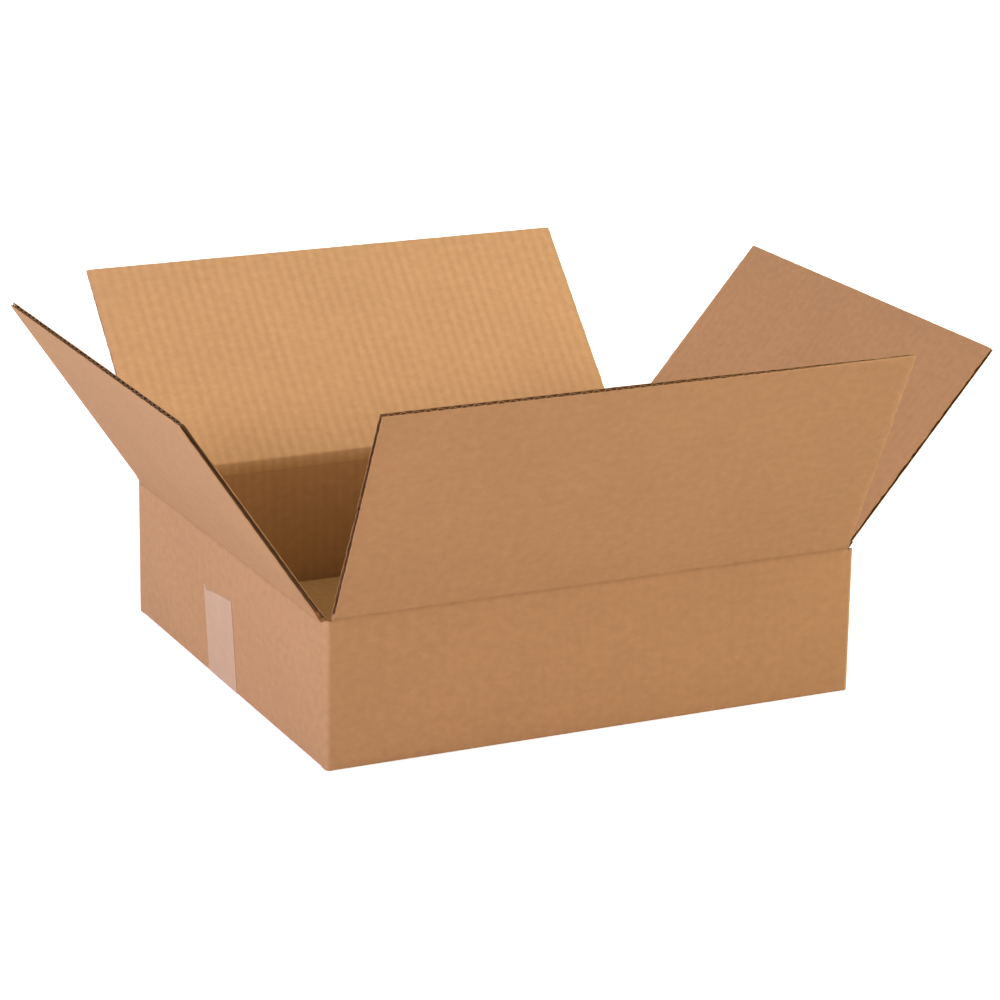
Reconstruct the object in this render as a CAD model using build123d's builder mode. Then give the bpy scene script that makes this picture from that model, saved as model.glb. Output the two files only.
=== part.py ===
from build123d import *
from math import cos, pi, radians, sin, sqrt, tan
import os

# A shallow slotted carton of corrugated board, standing open: walls and taped bottom flaps in one piece,
# four top flaps on their fold lines, and a strip of clear tape under the bottom seam.
# Origin: on the table, under the middle of the bottom. X runs along the long walls, +Z is up.

# Outside sizes of the carton, in millimetres
length = 362.0
width = 326.0
height = 96.0  # from the underside to the fold line of the long flaps
flap_length = 159.0  # fold line to cut edge, the same on all eight flaps

# Corrugated board
board = 4.0  # over both liners
liner = 0.4
medium = 0.3  # the waved sheet between the liners
flute_pitch = 7.65
flute_glue_width = 0.6  # half the width where a flute is glued to its liner

# Folds
corner_radius = 3.0  # outside radius of a fold closed to a right angle
inner_corner_radius = 0.6
crushed = 1.2  # board left at a scored fold line
crush_length = 7.0  # from the fold line to full board
fold_gap = 0.2  # between a flap's root and the wall top below it
layer_gap = 0.3  # between flaps that lie on each other when the carton is shut
slot_gap = 0.3  # between a flap's side and the wall beside its slot
slot_end = 0.9  # from a long flap's fold line to the end of the slots
corner_lift = 0.3  # from the table to the corners' lower ends
short_flap_inset = 4.3  # from the inside of a long wall to the side of a short flap
open_limit = 120.0  # degrees outward from upright that a top flap swings

# How far each top flap leans outward from upright, in degrees
front_tilt = 26.0
back_tilt = 44.3
left_tilt = 34.1
right_tilt = 40.4

# Glued tab inside the back right corner
tab_width = 32.0
tab_end_margin = 10.0  # from the fold lines to the tab's root
tab_taper = 6.0  # lost at each end over the tab's width

# Clear tape
tape_width = 48.0
tape_thickness = 0.15
tape_gap = 0.05
tape_leg = 53.0  # along each short wall, above the rounded foot
tape_offset = 7.5  # from the bottom seam towards the back
tape_lean = 8.5  # degrees that the left end leans towards the back

# Worked out from the sizes above
pivot_depth = crushed / 2  # from the outside of a wall to its flap's turning axis
fold_step = board + layer_gap  # short flaps fold this much inside the long ones
half_length = length / 2
half_width = width / 2
long_flap_half = half_length - board - slot_gap
short_flap_half = half_width - board - short_flap_inset
short_fold_height = height - fold_step
flap_reach = flap_length + pivot_depth  # from the outside of a wall to the tip of a flap folded in


def wall_plane(outward, reach, offset=0.0):
    """Section across a wall: local X goes inward from its outside, local Y goes up.

    The offset is towards the back, from the middle of a short wall.
    """
    origin = outward * reach + Vector(0, offset, 0)
    return Plane(origin=origin, x_dir=-outward, z_dir=(-outward).cross(Vector(0, 0, 1)))


def flap_axes(outward, tilt):
    """Direction along a flap from its fold line, and the direction through it from outside to inside."""
    lean = radians(tilt)
    up = Vector(0, 0, 1)
    return outward * sin(lean) + up * cos(lean), -outward * cos(lean) + up * sin(lean)


FRONT = Vector(0, -1, 0)
BACK = Vector(0, 1, 0)
LEFT = Vector(-1, 0, 0)
RIGHT = Vector(1, 0, 0)

# Each wall: outward direction, distance of its outside, half width of its flaps, height of its bottom
# flap's underside, and height of its top fold line
LONG_WALLS = [(side, half_width, long_flap_half, 0.0, height) for side in (FRONT, BACK)]
SHORT_WALLS = [(side, half_length, short_flap_half, fold_step, short_fold_height) for side in (LEFT, RIGHT)]


# Carton body
with BuildPart() as carton_body:
    # The four walls, between the ends of the slots
    with BuildSketch(Plane.XY.offset(corner_lift)):
        RectangleRounded(length, width, corner_radius)
        RectangleRounded(length - 2 * board, width - 2 * board, inner_corner_radius, mode=Mode.SUBTRACT)
    extrude(amount=height - slot_end - corner_lift)

    inner_bend = board + inner_corner_radius
    for outward, reach, flap_half, bottom, fold_height in LONG_WALLS + SHORT_WALLS:
        section = wall_plane(outward, reach)

        # Wall top below the fold line: thinned from inside by the score, bevelled outside for the open flap
        bevel = radians(open_limit - 90)
        below_axis = pivot_depth + fold_gap
        bevel_start = pivot_depth + below_axis * tan(bevel / 2)
        bevel_end = (below_axis + pivot_depth * sin(bevel)) / cos(bevel)
        with BuildSketch(section):
            with BuildLine():
                Polyline(
                    (-board, height + board),
                    (-board, fold_height - bevel_end),
                    (0, fold_height - bevel_end),
                    (bevel_start, fold_height - below_axis),
                    (crushed, fold_height - below_axis),
                    (board, fold_height - crush_length),
                    (2 * board, fold_height - crush_length),
                    (2 * board, height + board),
                    close=True,
                )
            make_face()
        extrude(amount=flap_half + slot_gap, both=True, mode=Mode.SUBTRACT)

        # Room for the bottom fold
        with BuildSketch(section):
            with Locations((inner_bend / 2, (bottom + inner_bend) / 2)):
                Rectangle(inner_bend, bottom + inner_bend)
        extrude(amount=flap_half + slot_gap, both=True, mode=Mode.SUBTRACT)

    for outward, reach, flap_half, bottom, fold_height in LONG_WALLS + SHORT_WALLS:
        section = wall_plane(outward, reach)
        joined = bottom + inner_bend

        # Foot of the wall: every fold is pressed down to the table, the short walls' too
        with BuildSketch(section):
            with BuildLine():
                Line((0, joined), (0, corner_radius))
                RadiusArc((0, corner_radius), (corner_radius, 0), -corner_radius)
                Line((corner_radius, 0), (board - inner_corner_radius, 0))
                RadiusArc((board - inner_corner_radius, 0), (board, inner_corner_radius), -inner_corner_radius)
                Polyline((board, inner_corner_radius), (board, joined), (0, joined))
            make_face()
        extrude(amount=flap_half + slot_gap, both=True)

        # Bottom flap, folded in from the foot
        with BuildSketch(section):
            with BuildLine():
                Polyline(
                    (board, joined),
                    (corner_radius, joined),
                    (corner_radius, bottom),
                    (flap_reach, bottom),
                    (flap_reach, bottom + board),
                    (inner_bend, bottom + board),
                )
                RadiusArc((inner_bend, bottom + board), (board, joined), inner_corner_radius)
            make_face()
        extrude(amount=flap_half, both=True)

    # Glued tab, inside the back wall at its right end
    tab_low = fold_step + board + tab_end_margin
    tab_high = short_fold_height - tab_end_margin
    with BuildSketch(Plane.XZ.offset(-(half_width - board))):
        with BuildLine():
            Polyline(
                (half_length - board, tab_low),
                (half_length - board, tab_high),
                (half_length - board - tab_width, tab_high - tab_taper),
                (half_length - board - tab_width, tab_low + tab_taper),
                close=True,
            )
        make_face()
    extrude(amount=board)

    # The tape presses itself flush with the underside
    with BuildSketch(Plane.XY):
        with Locations((0, tape_offset)):
            Rectangle(length, tape_width + 2 * tape_gap)
    extrude(amount=tape_thickness + tape_gap, mode=Mode.SUBTRACT)

carton_body.part.label = "carton_body"


def flutes(flap_half):
    """Outline of one flute next to the inside liner, and the places of all flutes beside either liner.

    The medium is a wave across the flap's width. Its flutes start half open at both sides of the flap.
    """
    count = max(1, round(2 * flap_half / flute_pitch))
    pitch = 2 * flap_half / count
    middle = board / 2 - pivot_depth
    under_liner = board / 2 - liner
    swing = under_liner - medium / 2
    flank, foot = 0.27, 0.1  # where the wave is sampled, in pitches from its trough
    top = pitch / 2 - flute_glue_width

    def wave(share):
        return medium / 2 - swing * cos(2 * pi * share)

    outline = [
        (-top, under_liner),
        (-flank * pitch, wave(flank)),
        (-foot * pitch, wave(foot)),
        (foot * pitch, wave(foot)),
        (flank * pitch, wave(flank)),
        (top, under_liner),
    ]
    inside = [(-flap_half + (i + 0.5) * pitch, middle) for i in range(count)]
    outside = [(-flap_half + i * pitch, middle) for i in range(count + 1)]
    return outline, inside, outside


def top_flap(name, outward, reach, flap_half, fold_height, tilt):
    """A flap standing on its fold line, with its flutes open at the tip and along its sides."""
    along, through = flap_axes(outward, tilt)
    axis_point = outward * (reach - pivot_depth) + Vector(0, 0, fold_height)
    across = through.cross(along)
    outline, inside, outside = flutes(flap_half)
    with BuildPart() as flap:
        # Root: rounded at the turning axis, then from crushed to full board
        with BuildSketch(Plane(origin=axis_point, x_dir=along, z_dir=along.cross(through))):
            with BuildLine():
                RadiusArc((0, pivot_depth), (0, -pivot_depth), -pivot_depth)
                Polyline(
                    (0, -pivot_depth),
                    (crush_length, -pivot_depth),
                    (crush_length, board - pivot_depth),
                    (pivot_depth, pivot_depth),
                    (0, pivot_depth),
                )
            make_face()
        extrude(amount=flap_half, both=True)

        # Corrugated board up to the cut edge
        with BuildSketch(Plane(origin=axis_point + along * crush_length, x_dir=across, z_dir=along)):
            with Locations((0, board / 2 - pivot_depth)):
                Rectangle(2 * flap_half, board)
            with Locations(*inside):
                Polygon(*outline, align=None, mode=Mode.SUBTRACT)
            with Locations(*outside):
                Polygon(*[(x, -y) for x, y in reversed(outline)], align=None, mode=Mode.SUBTRACT)
        extrude(amount=flap_length - crush_length)
    flap.part.label = name
    return flap


front_flap = top_flap("front_flap", FRONT, half_width, long_flap_half, height, front_tilt)
back_flap = top_flap("back_flap", BACK, half_width, long_flap_half, height, back_tilt)
left_flap = top_flap("left_flap", LEFT, half_length, short_flap_half, short_fold_height, left_tilt)
right_flap = top_flap("right_flap", RIGHT, half_length, short_flap_half, short_fold_height, right_tilt)


def turn_point(radius, level):
    """Where a circle round the centre of a foot's outside radius comes down to a level."""
    return corner_radius - sqrt(radius**2 - (corner_radius - level) ** 2), level


# Clear tape under the bottom seam, round the short walls' feet and up their outsides
with BuildPart() as bottom_tape:
    inner_radius = corner_radius + tape_gap
    outer_radius = inner_radius + tape_thickness
    inner_turn = turn_point(inner_radius, tape_thickness)
    outer_turn = turn_point(outer_radius, 0)

    for outward, lean in ((LEFT, tape_lean), (RIGHT, 0.0)):
        # Half the underside, and the turn round the foot of the short wall
        with BuildSketch(wall_plane(outward, half_length, tape_offset)):
            with BuildLine():
                Polyline((half_length, tape_thickness), (half_length, 0), outer_turn)
                RadiusArc(outer_turn, (-tape_gap - tape_thickness, corner_radius), outer_radius)
                Line((-tape_gap - tape_thickness, corner_radius), (-tape_gap, corner_radius))
                RadiusArc((-tape_gap, corner_radius), inner_turn, -inner_radius)
                Line(inner_turn, (half_length, tape_thickness))
            make_face()
        extrude(amount=tape_width / 2, both=True)

        # End on the wall, cut square across the tape
        leaning = radians(lean)
        top = (tape_leg * sin(leaning), tape_leg * cos(leaning))
        side = (tape_width / 2 * cos(leaning), -tape_width / 2 * sin(leaning))
        foot = outward * (half_length + tape_gap) + Vector(0, tape_offset, corner_radius)
        with BuildSketch(Plane(origin=foot, x_dir=(0, 1, 0), z_dir=(1, 0, 0))):
            Polygon(
                (-tape_width / 2, 0),
                (tape_width / 2, 0),
                (top[0] + side[0], top[1] + side[1]),
                (top[0] - side[0], top[1] - side[1]),
                align=None,
            )
        extrude(amount=tape_thickness * outward.X)

bottom_tape.part.label = "bottom_tape"

os.makedirs("parts", exist_ok=True)
for piece in (carton_body, front_flap, back_flap, left_flap, right_flap, bottom_tape):
    export_step(piece.part, f"parts/{piece.part.label}.step")
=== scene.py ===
"""An open slotted carton of corrugated board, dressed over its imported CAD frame."""
import math
from collections import namedtuple

import bmesh
import bpy
import numpy as np
from mathutils import Matrix, Vector


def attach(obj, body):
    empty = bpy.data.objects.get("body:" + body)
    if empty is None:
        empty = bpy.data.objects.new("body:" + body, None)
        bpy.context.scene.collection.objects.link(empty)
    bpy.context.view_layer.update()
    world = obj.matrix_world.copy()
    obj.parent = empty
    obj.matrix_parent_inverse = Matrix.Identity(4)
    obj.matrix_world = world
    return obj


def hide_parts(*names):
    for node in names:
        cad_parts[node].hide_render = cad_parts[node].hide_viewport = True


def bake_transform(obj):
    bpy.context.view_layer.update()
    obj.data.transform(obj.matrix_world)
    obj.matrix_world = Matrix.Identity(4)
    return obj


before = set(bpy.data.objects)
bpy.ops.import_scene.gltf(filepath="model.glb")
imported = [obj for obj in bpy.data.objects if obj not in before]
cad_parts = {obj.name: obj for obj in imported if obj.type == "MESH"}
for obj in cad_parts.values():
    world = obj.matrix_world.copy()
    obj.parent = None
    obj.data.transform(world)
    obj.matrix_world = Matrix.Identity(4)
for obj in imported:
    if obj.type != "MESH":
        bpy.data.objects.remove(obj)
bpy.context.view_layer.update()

rng = np.random.RandomState(11)
MM = 0.001

# Sizes of the carton in millimetres, as in the part's source. PIVOT is how deep the turning axis of a top
# flap lies in the board, CRUSH how far the press of a fold reaches, STEP how far the short sides' folds lie
# inside the long sides', SHORT_INSET the room between a short flap and the long wall beside it, FOOT the
# radius of the walls' feet, and LIFT the height of the corner posts over the floor.
LENGTH, WIDTH, HEIGHT, FLAP = 362.0, 326.0, 96.0, 159.0
BOARD, LINER, MEDIUM, PITCH = 4.0, 0.4, 0.3, 7.65
PIVOT, CRUSH, STEP = 0.6, 7.0, 4.3
SLOT_GAP, SLOT_END, SHORT_INSET = 0.3, 0.9, 4.3
CORNER, FOOT, INNER_CORNER, LIFT = 3.0, 1.4, 0.6, 0.3
TAPE_WIDTH, TAPE_THICK, TAPE_GAP, TAPE_LEG, TAPE_OFFSET, TAPE_LEAN = 48.0, 0.15, 0.05, 53.0, 7.5, 8.5
TAB_WIDTH, TAB_MARGIN, TAB_TAPER, TAB_CLEAR, TAB_ON_SHEET = 32.0, 10.0, 6.0, 0.02, 1450.0
TAPE_DEPTH = TAPE_THICK + TAPE_GAP
TAPED_HALF = TAPE_WIDTH / 2 + TAPE_GAP
LONG_HALF = LENGTH / 2 - BOARD - SLOT_GAP
SHORT_HALF = WIDTH / 2 - BOARD - SHORT_INSET
UP = np.array([0.0, 0.0, 1.0])
CORNER_TURN = np.linspace(0, math.pi / 2, 9)

# Each side: outward direction, distance of its outside, half width of its flaps, bottom fold, top fold line,
# lean of its top flap in degrees, and where its middle lies on the unrolled sheet
Side = namedtuple("Side", "outward reach half bottom fold lean middle")
SIDES = {
    "front": Side((0, -1, 0), WIDTH / 2, LONG_HALF, 0.0, HEIGHT, 26.0, 869.0),
    "back": Side((0, 1, 0), WIDTH / 2, LONG_HALF, 0.0, HEIGHT, 44.3, 181.0),
    "left": Side((-1, 0, 0), LENGTH / 2, SHORT_HALF, STEP, HEIGHT - STEP, 34.1, 525.0),
    "right": Side((1, 0, 0), LENGTH / 2, SHORT_HALF, STEP, HEIGHT - STEP, 40.4, 1213.0),
}


# Materials

def node(nt, kind, inputs=(), **props):
    """A shader node with its settings, and its inputs linked or set."""
    n = nt.nodes.new(kind)
    for k, v in props.items():
        setattr(n, k, v)
    for k, v in dict(inputs).items():
        if isinstance(v, bpy.types.NodeSocket):
            nt.links.new(v, n.inputs[k])
        else:
            n.inputs[k].default_value = v
    return n


def new_material(name):
    """A material, its node tree and its shader."""
    m = bpy.data.materials.new(name)
    m.use_nodes = True
    nt = m.node_tree
    return m, nt, nt.nodes["Principled BSDF"]


def maths(nt, op, a, b=0.0, c=0.0):
    """The result of one operation on numbers or sockets."""
    return node(nt, "ShaderNodeMath", {0: a, 1: b, 2: c}, operation=op).outputs[0]


# Noises: blots to a metre along each axis of the sheet, detail, roughness, and a shift of its own
CLOUD = (16, 20, 16), 2.0, 0.5, 0.0
MOTTLE = (150, 190, 150), 3.0, 0.6, 3.0
FIBRE = (800, 1250, 1000), 2.0, 0.6, 5.0
FLECK = (1100, 1900, 1500), 1.0, 0.5, 9.0
PATCHES = (60, 14, 40), 1.0, 0.5, 13.0
WEAR = (45, 45, 45), 2.0, 0.6, 17.0
HAZE = (55, 28, 40), 3.0, 0.55, 2.0
STREAK = (420, 9, 40), 2.0, 0.5, 4.0
GRAIN = (3, 3, 3), 2.0, 0.5, 0.0
SHIFT_WAY = (1.0, 0.7, 0.3)


def noise(nt, place, kind, shift=0.0):
    """One of the noises at a place. The shift keeps one material from repeating another."""
    stretch, detail, roughness, own = kind
    moved = {"Vector": place, "Scale": stretch, "Location": [(shift + own) * k for k in SHIFT_WAY]}
    spot = node(nt, "ShaderNodeMapping", moved).outputs[0]
    look = {"Vector": spot, "Scale": 1.0, "Detail": detail, "Roughness": roughness}
    return node(nt, "ShaderNodeTexNoise", look).outputs[0]


def ramp(nt, value, low, high, at_low=0.0, at_high=1.0, smooth=True):
    """A value's place between low and high, as a number from at_low to at_high."""
    span = {"Value": value, "From Min": low, "From Max": high, "To Min": at_low, "To Max": at_high}
    kind = "SMOOTHSTEP" if smooth else "LINEAR"
    return node(nt, "ShaderNodeMapRange", span, interpolation_type=kind).outputs[0]


def mixed(nt, share, a, b, blend="MIX"):
    """Two colours mixed by a share; a colour may be three numbers or a socket."""
    a, b = (x if isinstance(x, bpy.types.NodeSocket) else (*x, 1) for x in (a, b))
    return node(nt, "ShaderNodeMix", {0: share, 6: a, 7: b}, data_type="RGBA", blend_type=blend).outputs[2]


def surface(nt, shader, colour, roughness, height):
    """Links a shader to its colour, its roughness and the relief of its surface."""
    bump = node(nt, "ShaderNodeBump", {"Height": height, "Distance": RELIEF}).outputs[0]
    nt.links.new(colour, shader.inputs["Base Color"])
    nt.links.new(roughness, shader.inputs["Roughness"])
    nt.links.new(bump, shader.inputs["Normal"])


def seen_plainly(nt):
    """1 for what the camera sees, also in gloss or through clear material, and 0 as light on the object."""
    path = node(nt, "ShaderNodeLightPath").outputs
    through = maths(nt, "MAXIMUM", path["Is Glossy Ray"], path["Is Transmission Ray"])
    return maths(nt, "MAXIMUM", path["Is Camera Ray"], through)


# How strongly each noise shows in the kraft's tone, and in its relief
CLOUD_TONE, CLOUD_BASE, MOTTLE_TONE, FIBRE_TONE, FLECK_TONE = 0.10, 0.95, 0.16, 0.07, 0.10
FLECK_FROM, FLECK_FULL = 0.70, 0.78
FIBRE_RELIEF, MOTTLE_RELIEF, RELIEF = 0.022, 0.05, 0.001
KRAFT_ROUGHNESS, FIBRE_ROUGHNESS, KRAFT_SPECULAR = 0.74, 0.16, 0.16
# A darker fold line, partly wear and partly painted shade of the crease: its depth of tone, its least wear,
# and half the width of its line in metres
FOLD_SHADE_AND_WEAR, FOLD_LEAST, FOLD_LINE = 0.125, 0.5, 0.0019
# The painted shade inside the box ends this high on the sheet, and fades over this much of it, in metres
INSIDE_SHADE_TOP, INSIDE_SHADE_FADE = 0.096, 0.008


def kraft(
    name, light, dark, stripes, ridge, fibres=FIBRE_TONE, shift=0.0, by_sheet=True, fold=None, painted_shade=None
):
    """Kraft liner: two tones, mottling, short fibres, the faint ridges of the flutes below, and a darker fold
    line, partly wear and partly painted shade.

    stripes and ridge are how strongly the flutes show in the colour and in the surface. The tone for below
    the top folds is painted shade of the box's inside, which takes less light than the flaps do.
    """
    m, nt, shader = new_material(name)
    if by_sheet:
        place = node(nt, "ShaderNodeUVMap", uv_map="sheet").outputs[0]
    else:
        place = node(nt, "ShaderNodeTexCoord").outputs["Object"]
    cloud, mottle, fibre, fleck = (noise(nt, place, kind, shift) for kind in (CLOUD, MOTTLE, FIBRE, FLECK))
    across, up = node(nt, "ShaderNodeSeparateXYZ", {0: place}).outputs[:2]
    wave = maths(nt, "SINE", maths(nt, "MULTIPLY", across, 2 * math.pi / (PITCH * MM)))
    faded = maths(nt, "MULTIPLY", wave, noise(nt, place, PATCHES, shift))
    tone = maths(nt, "MULTIPLY_ADD", cloud, CLOUD_TONE, CLOUD_BASE)
    tone = maths(nt, "MULTIPLY_ADD", maths(nt, "SUBTRACT", mottle, 0.5), MOTTLE_TONE, tone)
    tone = maths(nt, "MULTIPLY_ADD", maths(nt, "SUBTRACT", fibre, 0.5), fibres, tone)
    tone = maths(nt, "MULTIPLY_ADD", faded, stripes, tone)
    specks = ramp(nt, fleck, FLECK_FROM, FLECK_FULL, 0.0, FLECK_TONE, smooth=False)
    tone = maths(nt, "SUBTRACT", tone, specks)
    # A darker line along the fold: partly wear, partly painted shade of the crease
    if fold is not None:
        off = maths(nt, "ABSOLUTE", maths(nt, "SUBTRACT", up, fold * MM))
        line = ramp(nt, off, 0.0, FOLD_LINE, FOLD_SHADE_AND_WEAR, 0.0)
        worn = maths(nt, "ADD", noise(nt, place, WEAR, shift), FOLD_LEAST)
        tone = maths(nt, "SUBTRACT", tone, maths(nt, "MULTIPLY", line, worn))
    colour = mixed(nt, 1.0, mixed(nt, mottle, dark, light), tone, "MULTIPLY")
    # Painted shade: the liner is darker below the top folds, inside the box
    if painted_shade is not None:
        above = ramp(nt, up, INSIDE_SHADE_TOP - INSIDE_SHADE_FADE, INSIDE_SHADE_TOP)
        colour = mixed(nt, 1.0, colour, mixed(nt, above, painted_shade, (1, 1, 1)), "MULTIPLY")
    height = maths(nt, "MULTIPLY", wave, ridge)
    height = maths(nt, "MULTIPLY_ADD", fibre, FIBRE_RELIEF, height)
    height = maths(nt, "MULTIPLY_ADD", mottle, MOTTLE_RELIEF, height)
    rough = maths(nt, "MULTIPLY_ADD", fibre, FIBRE_ROUGHNESS, KRAFT_ROUGHNESS)
    surface(nt, shader, colour, rough, height)
    shader.inputs["Specular IOR Level"].default_value = KRAFT_SPECULAR
    return m


# Tones, the lighter and the darker: of the liners outside; of the flaps' inside, the same liner painted
# darker as painted shade; of the back flap's inside, the same liner painted paler as painted light; of the
# cut edges and of the medium. Then what the liners' tone is multiplied by low inside the box, as painted
# shade.
LIGHT, DARK = (0.463, 0.263, 0.126), (0.404, 0.225, 0.105)
INNER_SHADED_LIGHT, INNER_SHADED_DARK = (0.422, 0.233, 0.106), (0.369, 0.199, 0.088)
BACK_LIT_LIGHT, BACK_LIT_DARK = (0.525, 0.309, 0.149), (0.458, 0.265, 0.124)
EDGE_LIGHT, EDGE_DARK = (0.43, 0.245, 0.115), (0.31, 0.17, 0.075)
CORE_LIGHT, CORE_DARK = (0.30, 0.165, 0.075), (0.22, 0.118, 0.05)
# Painted shade of the box's inside, by which the liners' tone is multiplied below the top folds
INSIDE_SHADE_TINT = (0.82, 0.77, 0.61)
OUTSIDE = kraft("kraft_outside", LIGHT, DARK, 0.010, 0.008)
# The flaps' inside: the same liner painted darker, as painted shade
SHADED_INSIDE = kraft("kraft_inside", INNER_SHADED_LIGHT, INNER_SHADED_DARK, 0.02, 0.015, shift=20.0, painted_shade=INSIDE_SHADE_TINT)
# The back flap's inside: the same liner painted paler, as painted light; its strong stripes are partly glue
# lines and partly painted shade of the flute ridges under grazing light
BACK_INSIDE_LIT = kraft("kraft_inside_of_back_flap_painted_light", BACK_LIT_LIGHT, BACK_LIT_DARK, 0.085, 0.035, shift=20.0, painted_shade=INSIDE_SHADE_TINT)
WALL_INSIDE = kraft("kraft_inside_of_walls", LIGHT, DARK, 0.045, 0.02, shift=20.0, painted_shade=INSIDE_SHADE_TINT)
EDGE = kraft("kraft_cut_edge", EDGE_LIGHT, EDGE_DARK, 0.0, 0.0, fibres=0.3, shift=40.0, by_sheet=False)
CORE = kraft("kraft_medium", CORE_LIGHT, CORE_DARK, 0.0, 0.0, fibres=0.2, shift=60.0, by_sheet=False)
LONG_FOLD = kraft("kraft_long_fold", LIGHT, DARK, 0.012, 0.012, fold=HEIGHT)
SHORT_FOLD = kraft("kraft_short_fold", LIGHT, DARK, 0.012, 0.012, fold=HEIGHT - STEP)
MATERIALS = [OUTSIDE, SHADED_INSIDE, EDGE, CORE]
BACK_MATERIALS = [OUTSIDE, BACK_INSIDE_LIT, EDGE, CORE]
WALL_MATERIALS = [OUTSIDE, WALL_INSIDE, EDGE, CORE]
OUT, IN, CUT, MED = range(4)  # the places of outside, inside, cut edge and medium in each such list

# The tape over kraft: its two tones, how streaks and mottling add to its haze, the haze at which each tone
# is reached, and how much paler its sides are painted, as a highlight along its edges, between two distances
# in metres from its middle
FILM_DARK, FILM_PALE = (0.375, 0.210, 0.102), (0.450, 0.275, 0.155)
FILM_STREAK, FILM_MOTTLE, FILM_SHIFT = 0.3, 0.45, 4.0
HAZE_FROM, HAZE_FULL = 0.55, 1.2
SIDE_FROM, SIDE_FULL, SIDE_HIGHLIGHT = 0.0212, 0.0236, 0.35
FILM_ROUGHNESS, HAZE_ROUGHNESS = 0.28, 0.2


def tape_material():
    """Clear film stuck flat on kraft: the board's tone under a pale haze, streaked, with a painted highlight
    at its sides.
    """
    m, nt, shader = new_material("clear_tape")
    place = node(nt, "ShaderNodeUVMap", uv_map="sheet").outputs[0]
    haze, streak = noise(nt, place, HAZE), noise(nt, place, STREAK)
    mottle = noise(nt, place, MOTTLE, FILM_SHIFT)
    hazy = maths(nt, "MULTIPLY_ADD", mottle, FILM_MOTTLE, haze)
    hazy = maths(nt, "MULTIPLY_ADD", streak, FILM_STREAK, hazy)
    off = maths(nt, "ABSOLUTE", node(nt, "ShaderNodeSeparateXYZ", {0: place}).outputs[0])
    # Painted highlight along both sides of the tape
    side = ramp(nt, off, SIDE_FROM, SIDE_FULL, 0.0, SIDE_HIGHLIGHT)
    level = ramp(nt, hazy, HAZE_FROM, HAZE_FULL, smooth=False)
    colour = mixed(nt, maths(nt, "ADD", level, side), FILM_DARK, FILM_PALE)
    rough = maths(nt, "MULTIPLY_ADD", haze, HAZE_ROUGHNESS, FILM_ROUGHNESS)
    surface(nt, shader, colour, rough, maths(nt, "MULTIPLY", mottle, MOTTLE_RELIEF))
    return m


TAPE = tape_material()


# Mesh pieces

SHARP = 35.0  # degrees between two faces, from which their edge stays sharp


class Piece:
    """Collects closed slabs, in millimetres, and makes one mesh object of them."""

    def __init__(self, name):
        self.name, self.co, self.faces, self.mats, self.uvs, self.count = name, [], [], [], [], 0

    def slab(self, p, q, uv, mats):
        """p and q are the two faces as grids of points, uv their places on the unrolled sheet.

        mats are the materials of face p, face q and the rim, each one for all or one for each cell.
        """
        n, m = p.shape[:2]
        a = self.count + np.arange(n * m).reshape(n, m)
        b = a + n * m
        self.count += 2 * n * m
        self.co += [p.reshape(-1, 3), q.reshape(-1, 3)]
        self.uvs += [uv.reshape(-1, 2)] * 2

        def quads(i, mat):
            i = i.reshape(-1, 4)
            self.faces.append(i)
            self.mats.append(np.broadcast_to(np.ravel(mat) if np.ndim(mat) else mat, len(i)))

        def cells(g):
            return np.stack([g[:-1, :-1], g[1:, :-1], g[1:, 1:], g[:-1, 1:]], -1)

        def rim(x, y):
            return np.stack([x[:-1], y[:-1], y[1:], x[1:]], -1)

        quads(cells(a), mats[0])
        quads(cells(b)[..., ::-1], mats[1])
        quads(rim(a[0], b[0])[..., ::-1], mats[2])
        quads(rim(a[-1], b[-1]), mats[2])
        quads(rim(a[:, 0], b[:, 0]), mats[2])
        quads(rim(a[:, -1], b[:, -1])[..., ::-1], mats[2])

    def make(self, body=None, materials=MATERIALS):
        """The mesh object, which rides on a body if one is named."""
        co = np.vstack(self.co) * MM
        faces, mats = np.vstack(self.faces), np.concatenate(self.mats)
        uv = np.vstack(self.uvs) * MM
        mesh = bpy.data.meshes.new(self.name)
        mesh.from_pydata(co, [], faces)
        mesh.polygons.foreach_set("material_index", mats.astype(np.int32))
        layer = mesh.uv_layers.new(name="sheet")
        layer.data.foreach_set("uv", uv[faces.ravel()].astype(np.float32).ravel())
        for mat in materials:
            mesh.materials.append(mat)
        bm = bmesh.new()
        bm.from_mesh(mesh)
        bmesh.ops.recalc_face_normals(bm, faces=bm.faces)
        bm.to_mesh(mesh)
        bm.free()
        mesh.shade_smooth()
        mesh.set_sharp_from_angle(angle=math.radians(SHARP))
        obj = bpy.data.objects.new(self.name, mesh)
        bpy.context.scene.collection.objects.link(obj)
        if body:
            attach(obj, body)
        return obj


class Panel:
    """A flat panel of board: u across the flutes, v along them, d inward from its outside face."""

    def __init__(self, origin, across, along, inward, u_mid, v_zero, v_sign=1.0):
        self.o, self.a, self.l, self.i = (np.asarray(x, float) for x in (origin, across, along, inward))
        self.u_mid, self.v_zero, self.v_sign = u_mid, v_zero, v_sign

    def at(self, u, v, d):
        """Points in space."""
        u, v, d = np.broadcast_arrays(u, v, d)
        return self.o + u[..., None] * self.a + v[..., None] * self.l + d[..., None] * self.i

    def sheet(self, u, v):
        """Places on the unrolled sheet."""
        return grid(self.u_mid + u, self.v_zero + self.v_sign * v)


def grid(*axes):
    """Arrays that are spread to one shape and joined as the coordinates of points."""
    return np.stack(np.broadcast_arrays(*axes), -1)


def distances(points):
    """How far along a line each of its points lies."""
    return np.concatenate([[0], np.cumsum(np.linalg.norm(np.diff(points, axis=0), axis=1))])


def ease(x):
    """From 0 to 1 with soft ends, as x goes from 0 to 1."""
    x = np.clip(x, 0.0, 1.0)
    return x * x * (3 - 2 * x)


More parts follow.
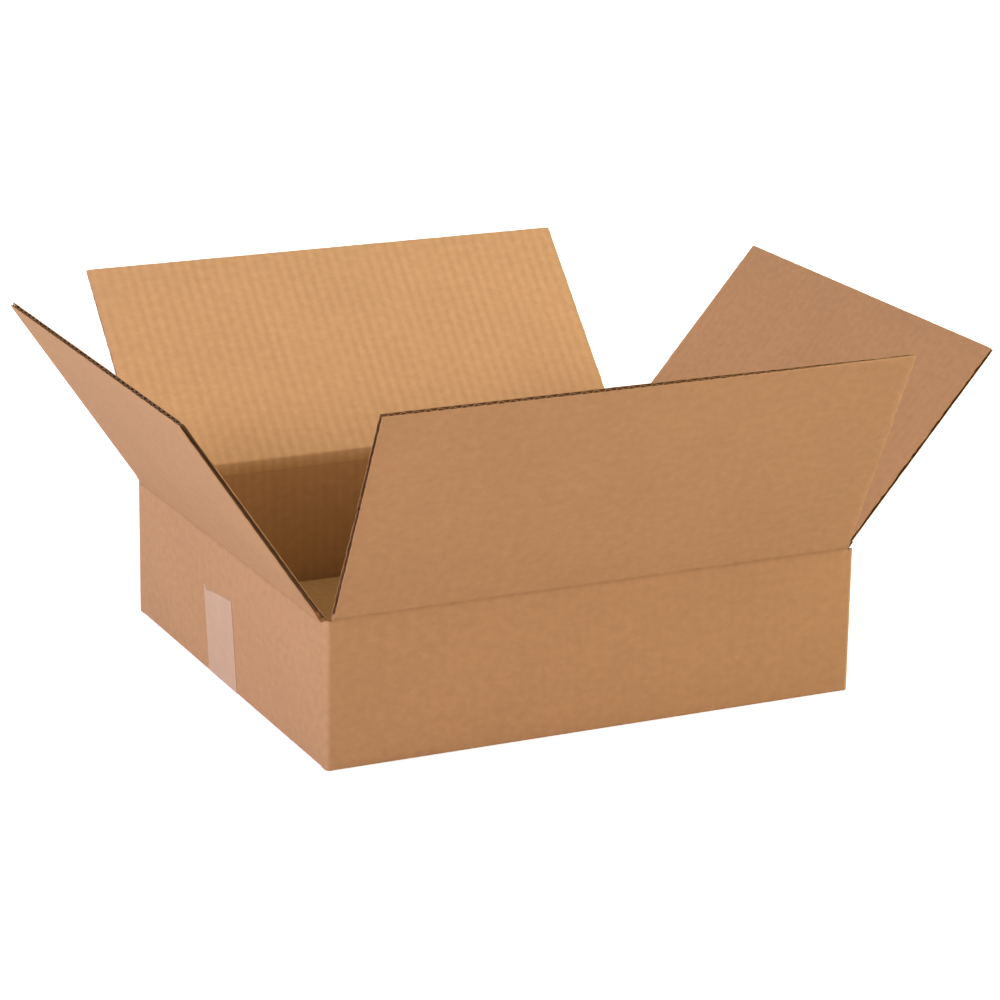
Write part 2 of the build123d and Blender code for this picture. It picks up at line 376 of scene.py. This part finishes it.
def spread(a, b, step, fine):
    """Places from a to b: fine ones near both ends, and about one a step between."""
    near = [x for x in fine if x < (b - a) / 2]
    count = max(2, int(round((b - a - 2 * near[-1]) / step)) + 1)
    middle = np.linspace(a + near[-1], b - near[-1], count)
    return np.unique(np.concatenate([[a + x for x in near], middle, [b - x for x in near]]))


def wander(places, size, reach):
    """Smooth chance shifts along a cut, about one in each reach."""
    knots = np.arange(places.min() - 2 * reach, places.max() + 2 * reach, reach)
    return np.interp(places, knots, rng.normal(0, size, len(knots)))


# Points of a board, in millimetres: the places near its sides and ends, and the steps across and along it
# between them, fine and coarse
SIDE_STEPS, END_STEPS = [0, 0.35, 0.7, 1.1, 2.6], [0, 0.35, 1.0, 2.6]
FINE, COARSE = (3.6, 2.4), (12.0, 12.0)
# How far a press by the knife reaches in from a side and an end, and over how much the tape's side presses
SIDE_REACH, END_REACH, TAPE_RAMP = 1.3, 0.9, 0.6
# Unevenness of the liners at an end and a side: its size, the distance from one chance shift to the next,
# and how far in it reaches. Then the size and distance for the end's line and for the sides' ragged lines.
END_ROUGH, SIDE_ROUGH = (0.07, 5.0, 1.0), (0.10, 4.0, 1.2)
END_LINE, OUTER_LINE, INNER_LINE = (0.10, 3.0), (0.20, 2.6), (0.5, 2.6)
# Where the inner liner stands out at the sides: from here on, rising over this much, and the power of its
# fall to the end. Then its torn fibres: size and distance of their chance, its middle, and where they show.
STAND_FROM, STAND_RISE, STAND_FALL = 3.0, 7.0, 1.3
TORN, TORN_MIDDLE, TORN_FROM = (0.45, 7.0), 0.75, 0.3
# The wave: its gap to the liners, its least swing, how much more a pinch takes, and its drift along a flute
WAVE_GAP, WAVE_LEAST, WAVE_PINCH, WAVE_DRIFT, DRIFT_LENGTH = 0.06, 0.04, 1.1, 0.5, 23.0
# Its points to a flute, and the bands where it shows: along from the end and in from the sides, the largest
# share of the length that the end's band takes, and the least rest that is worth a band
WAVE_POINTS, END_BAND, SIDE_BAND, BAND_MOST, REST_LEAST = 12, 26.0, 1.4 * PITCH, 0.9, 0.11
END_ROWS, OPEN_ROWS, SIDE_ROWS = 7, 5, 26  # rows of points along those bands
AT_END, CLOSED = 0.999, 1e3  # the share that counts as the end, and the distance to an end that isn't cut
BRUISE_LENGTH = 170.0  # how far a pressed corner reaches along the end


def board(
    piece, panel, u0, u1, v0, v1, tape_edge=None, skew=0.02, open_start=False, fine=True,
    pinch=(0.42, 0.42), spill=(0.0, 0.0), frayed=(0, 0), groove=(0.5, 0.5),
    end_press=0.30, end_gap=0.25, bruise=0.0,
):
    """Corrugated board between u0 and u1, from v0 to v1 along the flutes; v0 and v1 may change with u.

    Both liners are thin slabs, and the medium is a wave between them wherever it can be seen:
    in a band at the cut end and beside both cut sides. Tape presses the outside in beyond tape_edge.
    pinch presses the liners together at the two cut sides, and spill lets the inner liner stand out there.
    groove is how far the medium stands back there, and frayed how many rows of the inner liner show pale
    torn fibres in it. end_press presses the liners at the cut end, where the medium stands back by end_gap.
    bruise is how much more the cut end is pressed towards the corner at u1.
    """
    low = v0 if callable(v0) else (lambda u: np.full_like(u, v0))
    high = v1 if callable(v1) else (lambda u: np.full_like(u, v1))

    def pressed(v):
        if tape_edge is None:
            return np.zeros_like(v)
        return TAPE_DEPTH * ease((v - tape_edge + TAPE_RAMP) / TAPE_RAMP)

    across_step, along_step = FINE if fine else COARSE
    us = spread(u0, u1, across_step, SIDE_STEPS)[:, None]
    span = float(np.max(high(us) - low(us)))
    rows = spread(0.0, span, along_step, END_STEPS)
    if tape_edge is not None:
        pressed_at = tape_edge - v0 + np.array([-TAPE_RAMP, -TAPE_RAMP / 2, 0.0])
        rows = np.unique(np.concatenate([rows, pressed_at]))
    share = rows[None, :] / span
    vs = low(us) + (high(us) - low(us)) * share
    # Cut ends: the knife presses the liners together a little, and leaves them uneven
    to_end = np.minimum((1 - share) * span, share * span if open_start else CLOSED)
    to_side = np.minimum(us - u0, u1 - us)

    def pinched(u):
        return pinch[0] * np.exp(-(u - u0) / SIDE_REACH) + pinch[1] * np.exp(-(u1 - u) / SIDE_REACH)

    def end_pressed(u):
        return end_press + bruise * ease((u - u1 + BRUISE_LENGTH) / BRUISE_LENGTH)

    press = end_pressed(us) * np.exp(-to_end / END_REACH) + pinched(us)
    first, last = np.arange(len(us))[:, None] == 0, np.arange(len(us))[:, None] == len(us) - 1
    # The inner liner stands out most near the fold, clear of the corner posts
    stand = ease((rows - STAND_FROM) / STAND_RISE) * (1 - share[0] ** STAND_FALL)
    for outer in (True, False):
        rough = np.abs(wander(us[:, 0], *END_ROUGH[:2]))[:, None] * np.exp(-to_end / END_ROUGH[2])
        rough = rough + np.abs(wander(rows, *SIDE_ROUGH[:2]))[None, :] * np.exp(-to_side / SIDE_ROUGH[2])
        v = vs - np.abs(wander(us[:, 0], *END_LINE))[:, None] * (share > AT_END)
        size, reach = OUTER_LINE if outer else INNER_LINE
        cuts = []
        for out in spill:
            ragged = np.abs(wander(rows, size if fine else 0.0, reach))
            cuts.append(ragged - (0 if outer else out) * stand)
        u = us + first * cuts[0][None, :] - last * cuts[1][None, :]
        if outer:
            face = pressed(v) + press + rough
            p, q = panel.at(u, v, face), panel.at(u, v, face + LINER)
            piece.slab(p, q, panel.sheet(u, v), (OUT, MED, CUT))
        else:
            face = BOARD - press - rough
            p, q = panel.at(u, v, face), panel.at(u, v, face - LINER)
            hidden = np.full((len(us) - 1, len(rows) - 1), MED)
            torn = stand[:-1] * (TORN_MIDDLE + wander(rows[:-1], *TORN)) > TORN_FROM
            hidden[:frayed[0], torn] = CUT
            hidden[len(hidden) - frayed[1]:, torn] = CUT
            piece.slab(p, q, panel.sheet(u, v), (IN, hidden, CUT))

    def medium(ua, ub, sa, sb, steps):
        """The wave from ua to ub, between the shares sa and sb of the board's length."""
        n = max(WAVE_POINTS // 2, int(round((ub - ua) / PITCH * WAVE_POINTS)))
        u = np.linspace(ua, ub, n)[:, None]
        s = np.linspace(sa, sb, steps)[None, :]
        v = low(u) + (high(u) - low(u)) * s
        end = np.minimum((1 - s) * span, s * span if open_start else CLOSED)
        swing = (BOARD - 2 * LINER - MEDIUM) / 2 - WAVE_GAP
        swing = swing - (end_pressed(u) + WAVE_LEAST) * np.exp(-end / END_REACH)
        swing = np.maximum(swing - WAVE_PINCH * pinched(u) - pressed(v) / 2, WAVE_LEAST)
        turn = 2 * math.pi / PITCH
        drift = skew * (v - span / 2) + WAVE_DRIFT * np.sin(v / DRIFT_LENGTH)
        phase = turn * (u - (u0 + u1) / 2 + drift)
        mid = BOARD / 2 + pressed(v) / 2 + swing * np.cos(phase)
        slope = -swing * turn * np.sin(phase)
        length = np.sqrt(1 + slope**2)
        nu, nd = -slope / length * MEDIUM / 2, 1 / length * MEDIUM / 2
        edge = (np.arange(n) > 0)[:, None] & (np.arange(n) < n - 1)[:, None]
        nu = nu * edge
        back = -end_gap * (s > AT_END)
        p, q = panel.at(u + nu, v + back, mid + nd), panel.at(u - nu, v + back, mid - nd)
        piece.slab(p, q, panel.sheet(u, v), (MED, MED, CUT))

    rest = 1 - min(END_BAND / span, BAND_MOST)
    start, stop = u0 + groove[0], u1 - groove[1]
    medium(start, stop, rest, 1.0, END_ROWS)
    if open_start and rest > REST_LEAST:
        medium(start, stop, 0.0, rest, OPEN_ROWS)
    elif rest > REST_LEAST:
        medium(start, u0 + SIDE_BAND, 0.0, rest, SIDE_ROWS)
        medium(u1 - SIDE_BAND, stop, 0.0, rest, SIDE_ROWS)


def directions(side):
    """Outward from a side's wall, and across it."""
    outward = np.array(SIDES[side].outward, float)
    return outward, np.cross(UP, outward)


# How each flap was cut, at its two sides and its end
CUTS = {
    "front": dict(pinch=(0.10, 0.75), spill=(0.45, 0.2), frayed=(3, 0), groove=(2.0, 0.6), bruise=0.82),
    "back": dict(pinch=(0.42, 1.30), spill=(0.2, 0.0), groove=(0.6, 0.1)),
    "left": dict(
        pinch=(0.60, 0.42), spill=(0.2, 0.7), frayed=(0, 2), groove=(0.3, 2.0), end_press=0.5, end_gap=0.7
    ),
    "right": dict(pinch=(1.0, 0.42), spill=(0.0, 0.2), groove=(2.0, 0.6)),
}


def top_flap(side):
    """The board of a top flap at its lean, from its crease to its cut end."""
    _, reach, half, _, fold, lean, middle = SIDES[side]
    (outward, across), lean = directions(side), math.radians(lean)
    along = outward * math.sin(lean) + UP * math.cos(lean)
    inward = -outward * math.cos(lean) + UP * math.sin(lean)
    origin = outward * (reach - PIVOT) + UP * fold - inward * PIVOT
    piece = Piece(f"{side}_flap_board")
    panel = Panel(origin, across, along, inward, middle, fold)
    board(piece, panel, -half, half, CRUSH, FLAP, **CUTS[side])
    obj = piece.make(f"{side}_flap", materials=BACK_MATERIALS if side == "back" else MATERIALS)
    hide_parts(f"{side}_flap")


# The scored groove: its depth and half width. Its raised lips: height, half width and distance from it.
GROOVE, LIP, LIP_AT = (0.42, 1.25), (0.06, 1.1), 2.6
ROUND = 1.8  # the length over which the outside turns from wall to flap
RIDGE = 1.0  # how soft the ridge on the inside is, in square millimetres
CREASE_POINTS, CREASE_STEPS, GATHER = 25, 61, 1.5  # round the fold and across, and how they gather at it
# How far the medium stands back at the crease's ends, on the wall and more on the flap, and where it begins
CORE_INSET, CORE_RECESS, RECESS_FROM, RECESS_RISE = 0.15, 2.4, 1.4, 1.8


def crease(side):
    """The scored strip between wall and top flap, bent to the flap's lean.

    Section points are inward and up from the turning axis, in pairs outside and inside, from wall to flap.
    """
    _, reach, half, _, fold, lean, middle = SIDES[side]
    (outward, across), lean = directions(side), math.radians(lean)
    axis = outward * (reach - PIVOT) + UP * fold
    along = np.array([-math.sin(lean), math.cos(lean)])
    through = np.array([math.cos(lean), math.sin(lean)])
    hit = math.tan(lean / 2) * PIVOT
    t = np.linspace(-1, 1, CREASE_POINTS)
    reach_out = CRUSH * np.sign(t) * np.abs(t) ** GATHER
    outside = []
    for s in reach_out:
        dip = GROOVE[0] * math.exp(-((s / GROOVE[1]) ** 2))
        dip -= LIP[0] * math.exp(-(((abs(s) - LIP_AT) / LIP[1]) ** 2))
        on_wall = np.array([-PIVOT + dip, s - hit])
        on_flap = along * (s + hit) + through * (-PIVOT + dip)
        w = ease((s + ROUND / 2) / ROUND)
        outside.append((1 - w) * on_wall + w * on_flap)
    outside[0], outside[-1] = np.array([-PIVOT, -CRUSH]), along * CRUSH - through * PIVOT
    outside = np.array(outside)
    # The inside turns over a narrow ridge, where the planes of wall and flap meet
    ridge = np.array([BOARD - PIVOT, (BOARD - PIVOT) * math.tan(lean / 2)])
    run = (CRUSH + ridge[1]) * np.sign(t) * np.abs(t) ** GATHER
    soft = np.sqrt(run**2 + RIDGE)
    inside = ridge + ((soft - run) / 2)[:, None] * np.array([0, -1.0]) + ((soft + run) / 2)[:, None] * along
    inside[0], inside[-1] = np.array([BOARD - PIVOT, -CRUSH]), along * CRUSH + through * (BOARD - PIVOT)
    wall_half = np.where(outside[:, 1] < -SLOT_END, half + SLOT_GAP, half)
    us = np.linspace(-1, 1, CREASE_STEPS)[:, None]

    def place(section):
        x, z = section[None, :, 0, None], section[None, :, 1, None]
        return axis + (us * wall_half)[..., None] * across - x * outward + z * UP

    uv = grid(middle + us * wall_half, fold + reach_out)
    through_it = inside - outside
    share = (LINER / np.linalg.norm(through_it, axis=1))[:, None]
    under_out, under_in = outside + through_it * share, inside - through_it * share
    piece = Piece(f"{side}_crease")
    piece.slab(place(outside), place(under_out), uv, (OUT, MED, CUT))
    piece.slab(place(under_in), place(inside), uv, (MED, IN, CUT))
    wall_half = wall_half - CORE_INSET - CORE_RECESS * ease((reach_out - RECESS_FROM) / RECESS_RISE)
    piece.slab(place(under_out), place(under_in), uv, (MED, MED, CUT))
    outer, inner = LONG_FOLD if fold == HEIGHT else SHORT_FOLD, BACK_INSIDE_LIT if side == "back" else SHADED_INSIDE
    obj = piece.make(materials=[outer, inner, EDGE, CORE])
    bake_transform(obj)


WALL_STEPS, FOOT_POINTS = 45, 9
FOOT_LIFT, FOOT_INSET = 0.18, 0.1  # where the short walls' inside ends, clear of the floor and of the board
TAPE_EDGE = 0.06  # each side of the tape's edges, where the short walls' feet step up over it


def walls():
    """Four walls with their bottom folds, the corner columns, the bottom flaps and the glued tab."""
    piece = Piece("carton_walls")
    for side in SIDES:
        _, reach, half, bottom, fold, _, middle = SIDES[side]
        outward, across = directions(side)
        short = bottom > 0
        joined = bottom + BOARD + INNER_CORNER
        top = fold - CRUSH
        outside = [(0, top), (0, top / 2), (0, joined)]
        outside += [(FOOT - FOOT * math.cos(a), FOOT - FOOT * math.sin(a)) for a in CORNER_TURN]
        outside += [(BOARD - INNER_CORNER, 0)]
        inside = [(BOARD, top), (BOARD, top / 2), (BOARD, joined)]
        inside += [(BOARD, z) for z in np.linspace(CORNER, INNER_CORNER + FOOT_INSET, FOOT_POINTS)]
        inside += [(BOARD - FOOT_INSET, FOOT_LIFT)] if short else [(BOARD, 0.0)]
        us = np.linspace(-half - SLOT_GAP, half + SLOT_GAP, WALL_STEPS)
        if short:
            tape_middle = TAPE_OFFSET * across[1]
            tape_sides = [s * TAPED_HALF + tape_middle + k * TAPE_EDGE for s in (-1, 1) for k in (-1, 1)]
            us = np.unique(np.concatenate([us, tape_sides]))

        def place(section, us):
            x, z = section[:, 0], np.tile(section[:, 1], (len(us), 1))
            if short:
                taped = np.abs(us * across[1] - TAPE_OFFSET) < TAPED_HALF
                z = np.where(taped[:, None], np.maximum(z, TAPE_DEPTH), z)
            return outward * reach + us[:, None, None] * across - x[:, None] * outward + z[..., None] * UP

        outside, inside = np.array(outside), np.array(inside)
        drop = outside[:, 1] - np.minimum(outside[:, 0], CORNER) / 2
        uv = grid(middle + us[:, None], drop)
        piece.slab(place(outside, us), place(inside, us), uv, (OUT, IN, CUT))

        # Start of the bottom flap, with the rounded inside of the fold
        corner = BOARD + INNER_CORNER
        upper = [
            (corner - INNER_CORNER * math.cos(a), bottom + corner - INNER_CORNER * math.sin(a))
            for a in CORNER_TURN
        ]
        upper = np.array(upper + [(CRUSH, bottom + BOARD)])
        lower = grid(upper[:, 0], bottom)
        us = np.linspace(-half, half, WALL_STEPS)
        uv = grid(middle + us[:, None], bottom - lower[:, 0])
        piece.slab(place(lower, us), place(upper, us), uv, (OUT, IN, CUT))

        foot = outward * reach + UP * bottom
        under = Panel(foot, across, -outward, UP, middle, bottom, -1.0)
        tape_edge = None if short else reach - TAPED_HALF - TAPE_OFFSET * outward[1]
        board(piece, under, -half, half, CRUSH, FLAP + PIVOT, tape_edge=tape_edge, fine=False)

    for sx in (-1, 1):
        for sy in (-1, 1):
            column(piece, sx, sy)

    # Glued tab inside the back wall, at its right end
    root = LENGTH / 2 - BOARD
    low, high = STEP + BOARD + TAB_MARGIN, HEIGHT - STEP - TAB_MARGIN
    tab = Panel((0, WIDTH / 2 - 2 * BOARD, 0), (1, 0, 0), (0, 0, 1), (0, 1, 0), TAB_ON_SHEET, 0.0)
    board(
        piece, tab, root - TAB_WIDTH, root - TAB_CLEAR,
        lambda u: low + TAB_TAPER * (root - u) / TAB_WIDTH,
        lambda u: high - TAB_TAPER * (root - u) / TAB_WIDTH,
        skew=0.0, open_start=True, fine=False,
    )
    obj = piece.make("carton", materials=WALL_MATERIALS)
    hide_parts("carton_body")


POST_HEIGHTS = [8.0, 48.0, 86.0]
SLOT_SLOPE = 2.6  # fall of a post's top towards the short side's fold
POST_CORE = 2.6  # how far a post's filling stands back from its open ends
POST_WAVE, POST_PHASE = 0.33, 0.8  # swing of its medium, as a share of the board, and where the wave begins
# Where a corner's sides lie further apart on the sheet than this, the sheet's own ends meet, and the corner
# gets this width on it
SHEET_ENDS, SHEET_STEP = 60.0, 12.0
INNER_STEP = 0.02  # keeps the points of a post's inner corner apart
LINER_LAP = 0.9  # the share of a liner's thickness that a post's filling leaves free


def column(piece, sx, sy):
    """A folded corner of the sheet between two slots, open at both cut ends."""
    a0, b0 = LENGTH / 2 - BOARD, WIDTH / 2 - BOARD - SHORT_INSET + SLOT_GAP
    a1, b1 = LENGTH / 2, WIDTH / 2
    arc = [(a1 - CORNER + CORNER * math.sin(t), b1 - CORNER + CORNER * math.cos(t)) for t in CORNER_TURN]
    outer = np.array([(a0, b1)] + arc + [(a1, (b1 - CORNER + b0) / 2), (a1, b0)])
    # As many points inside, where the corner is sharp
    inner = [(a0, b1 - BOARD)] * 5 + [(a0, b1 - BOARD - INNER_STEP * k) for k in range(1, 6)]
    inner = np.array(inner + [(a0, (b1 - BOARD + b0) / 2), (a0, b0)])
    # Places on the unrolled sheet, the same as the walls' on both sides of the corner
    front, side = ("front" if sy < 0 else "back"), ("left" if sx < 0 else "right")
    mid_long, mid_short = SIDES[front].middle, SIDES[side].middle
    sign = 1.0 if (front == "front") == (sx > 0) else -1.0
    run = distances(outer)
    start_u = mid_long + sign * a0
    end_u = mid_short - sign * b0
    if abs(end_u - start_u) > SHEET_ENDS:
        end_u = start_u + sign * SHEET_STEP
    sheet_u = start_u + (end_u - start_u) * run / run[-1]

    def ring(share, zs):
        """The corner's path at a share of the board's thickness, at each height."""
        path = outer + (inner - outer) * (share[:, None] if np.ndim(share) else share)
        xy = np.stack([path[:, 0] * sx, path[:, 1] * sy], -1)
        return np.concatenate([np.repeat(xy[:, None, :], zs.shape[1], 1), zs[..., None]], -1)

    # The slot's cut end slopes from the corner down towards the short side's fold
    zs = np.tile([LIFT, *POST_HEIGHTS, HEIGHT - SLOT_END], (len(run), 1))
    zs[:, -1] -= SLOT_SLOPE * np.clip(run / run[-1] * 2 - 1, 0, 1)
    uv = grid(sheet_u[:, None], zs)
    thin = LINER / BOARD
    piece.slab(ring(0.0, zs), ring(thin, zs), uv, (OUT, MED, CUT))
    piece.slab(ring(1.0 - thin, zs), ring(1.0, zs), uv, (MED, IN, CUT))
    # The filling reaches a little into both liners
    core = zs.copy()
    core[:, 0] += POST_CORE
    core[:, -1] -= POST_CORE
    piece.slab(ring(thin * LINER_LAP, core), ring(1.0 - thin * LINER_LAP, core), uv, (MED, MED, MED))
    wave = 0.5 + POST_WAVE * np.sin(run / PITCH * 2 * math.pi + POST_PHASE)
    half = MEDIUM / BOARD / 2
    piece.slab(ring(wave - half, zs), ring(wave + half, zs), uv, (MED, MED, CUT))


TAPE_STEPS, TAPE_ROUND, TAPE_FLAT = 61, 9, 12  # points across the tape, round a foot and under the bottom
TOOTH, TOOTH_WIDTH = 0.45, 2.4
# The torn end on the left wall: places across the tape from front to back, and the height of the tear there
TEAR_AT = [-24, -21, -10, 8, 18, 20.5, 22.6, 24]
TEAR_HEIGHT = [59.5, 59.3, 58.5, 56.3, 54.6, 54.8, 57.6, 56.6]
TAPE_RISE = np.concatenate([np.linspace(0, 0.9, 8)[1:], [0.94, 0.97, 1.0]])  # points up the wall, as shares


def bottom_tape():
    """Clear tape under the seam, round both feet and up both short walls, torn off on a toothed edge."""
    us = np.linspace(-TAPE_WIDTH / 2, TAPE_WIDTH / 2, TAPE_STEPS)[:, None]
    teeth = TOOTH * np.abs((us / TOOTH_WIDTH) % 2 - 1)
    left_end, right_end = np.interp(us, TEAR_AT, TEAR_HEIGHT), CORNER + TAPE_LEG

    def leg(sign, gap, ends, lean):
        """One half: from the middle of the bottom to the end on a wall, at a distance out from the board."""
        radius = FOOT + gap
        flat_z = FOOT - radius + TAPE_DEPTH
        start = math.asin(min(1.0, (FOOT - flat_z) / radius))
        angles = np.linspace(start, 0, TAPE_ROUND)
        flat_x = np.linspace(0, LENGTH / 2 - FOOT + radius * math.cos(start), TAPE_FLAT)[:-1]
        x = np.concatenate([flat_x, LENGTH / 2 - FOOT + radius * np.cos(angles)])
        z = np.concatenate([np.full(len(flat_x), flat_z), FOOT - radius * np.sin(angles)])
        low = grid(sign * x, TAPE_OFFSET + us, z)
        up = FOOT + (ends - teeth - FOOT) * TAPE_RISE
        y = TAPE_OFFSET + us + (up - FOOT) * math.tan(math.radians(lean))
        high = grid(sign * (LENGTH / 2 + gap), y, up)
        return np.concatenate([low, high], 1)

    piece = Piece("bottom_tape_film")
    for sign, ends, lean in ((-1, left_end, TAPE_LEAN), (1, right_end, 0.0)):
        outer, inner = (leg(sign, g, ends, lean) for g in (TAPE_DEPTH, TAPE_GAP))
        uv = grid(us, sign * distances(outer[TAPE_STEPS // 2]))
        piece.slab(outer, inner, uv, (0, 0, 0))
    obj = piece.make("carton", materials=[TAPE])
    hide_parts("bottom_tape")


for side in SIDES:
    top_flap(side)
    crease(side)
walls()
bottom_tape()

# Floor and world
FLOOR_HALF, FLOOR_DROP = 9, 0.0002  # metres; the floor lies just under the carton
SHADE, WHITE, NEAR, FAR = 0.58, 1.0, 0.4, 1.6  # the floor's glow near the carton and away from it
FLOOR_DARK, FLOOR_PALE, FLOOR_ROUGHNESS = (0.80, 0.80, 0.80), (0.82, 0.82, 0.82), 0.9
AMBIENT = 0.01  # the white world's light on the object
floor_mesh = bpy.data.meshes.new("floor")
corners = [(x * FLOOR_HALF, y * FLOOR_HALF, 0) for x, y in ((-1, -1), (1, -1), (1, 1), (-1, 1))]
floor_mesh.from_pydata(corners, [], [(0, 1, 2, 3)])
floor = bpy.data.objects.new("floor", floor_mesh)
floor.location.z = -FLOOR_DROP
bpy.context.scene.collection.objects.link(floor)
floor_material, nt, shader = new_material("white_floor")
place = node(nt, "ShaderNodeTexCoord").outputs["Object"]
nt.links.new(mixed(nt, noise(nt, place, GRAIN), FLOOR_DARK, FLOOR_PALE), shader.inputs["Base Color"])
shader.inputs["Roughness"].default_value = FLOOR_ROUGHNESS
shader.inputs["Emission Color"].default_value = (1, 1, 1, 1)
# Whiter away from the carton, where the lamps reach less
away = node(nt, "ShaderNodeVectorMath", {0: place}, operation="LENGTH").outputs["Value"]
glow = ramp(nt, away, NEAR, FAR, SHADE, WHITE)
nt.links.new(maths(nt, "MULTIPLY", seen_plainly(nt), glow), shader.inputs["Emission Strength"])
floor_mesh.materials.append(floor_material)

world = bpy.data.worlds.new("studio")
world.use_nodes = True
bpy.context.scene.world = world
nt = world.node_tree
background = nt.nodes["Background"]
background.inputs["Color"].default_value = (1, 1, 1, 1)
strength = maths(nt, "MULTIPLY_ADD", seen_plainly(nt), 1.0 - AMBIENT, AMBIENT)
nt.links.new(strength, background.inputs["Strength"])


def lamp(name, place, target, size, power, colour):
    """A round soft lamp at a place, turned to a target, in metres and watts."""
    data = bpy.data.lights.new(name, "AREA")
    data.shape = "DISK"
    data.size, data.energy, data.color = size, power, colour
    obj = bpy.data.objects.new(name, data)
    obj.location = place
    obj.rotation_euler = (Vector(target) - Vector(place)).to_track_quat("-Z", "Y").to_euler()
    bpy.context.scene.collection.objects.link(obj)


LAMP_TARGET = (0, 0, 0.08)
# Each lamp: place, size, power and colour
LAMPS = {
    "left": ((-2.54, 0.0, 1.26), 1.2, 65.0, (0.95, 0.92, 1.13)),
    "front": ((0.0, -2.54, 1.26), 0.9, 28.0, (1.15, 0.92, 0.85)),
    "right": ((2.59, -0.46, 1.04), 1.6, 33.0, (1.15, 1.15, 0.98)),
    "right_high": ((2.22, -0.59, 1.69), 1.6, 36.0, (1.15, 1.15, 0.88)),
    "top": ((0.0, 0.1, 2.7), 1.8, 13.0, (1.15, 1.04, 0.85)),
    "back": ((-0.3, 2.5, 1.4), 1.8, 24.0, (1.0, 0.97, 0.95)),
}
for name, (place, size, power, colour) in LAMPS.items():
    lamp(name, place, LAMP_TARGET, size, power, colour)

# Camera
YAW, PITCH_DOWN, ROLL = 0.4492011, 0.2993166, 0.0153917  # radians
EYE = (-0.97359, -2.04060, 0.80058)
FRAME, FOCAL, SENSOR = 1000, 3635.81, 36.0  # the picture's width and the focal length in pixels, and in mm
cam_data = bpy.data.cameras.new("camera")
cam = bpy.data.objects.new("camera", cam_data)
bpy.context.scene.collection.objects.link(cam)
right = Vector((math.cos(YAW), -math.sin(YAW), 0))
level = math.cos(PITCH_DOWN)
ahead = Vector((math.sin(YAW) * level, math.cos(YAW) * level, -math.sin(PITCH_DOWN)))
above = right.cross(ahead)
right, above = (
    right * math.cos(ROLL) + above * math.sin(ROLL),
    above * math.cos(ROLL) - right * math.sin(ROLL),
)
turned = Matrix((right, above, -ahead)).transposed().to_4x4()
turned.translation = Vector(EYE)
cam.matrix_world = turned
cam_data.sensor_width = SENSOR
cam_data.lens = FOCAL / FRAME * SENSOR
cam_data.clip_start, cam_data.clip_end = 0.05, 50.0
bpy.context.scene.camera = cam
bpy.context.scene.view_settings.view_transform = "Standard"
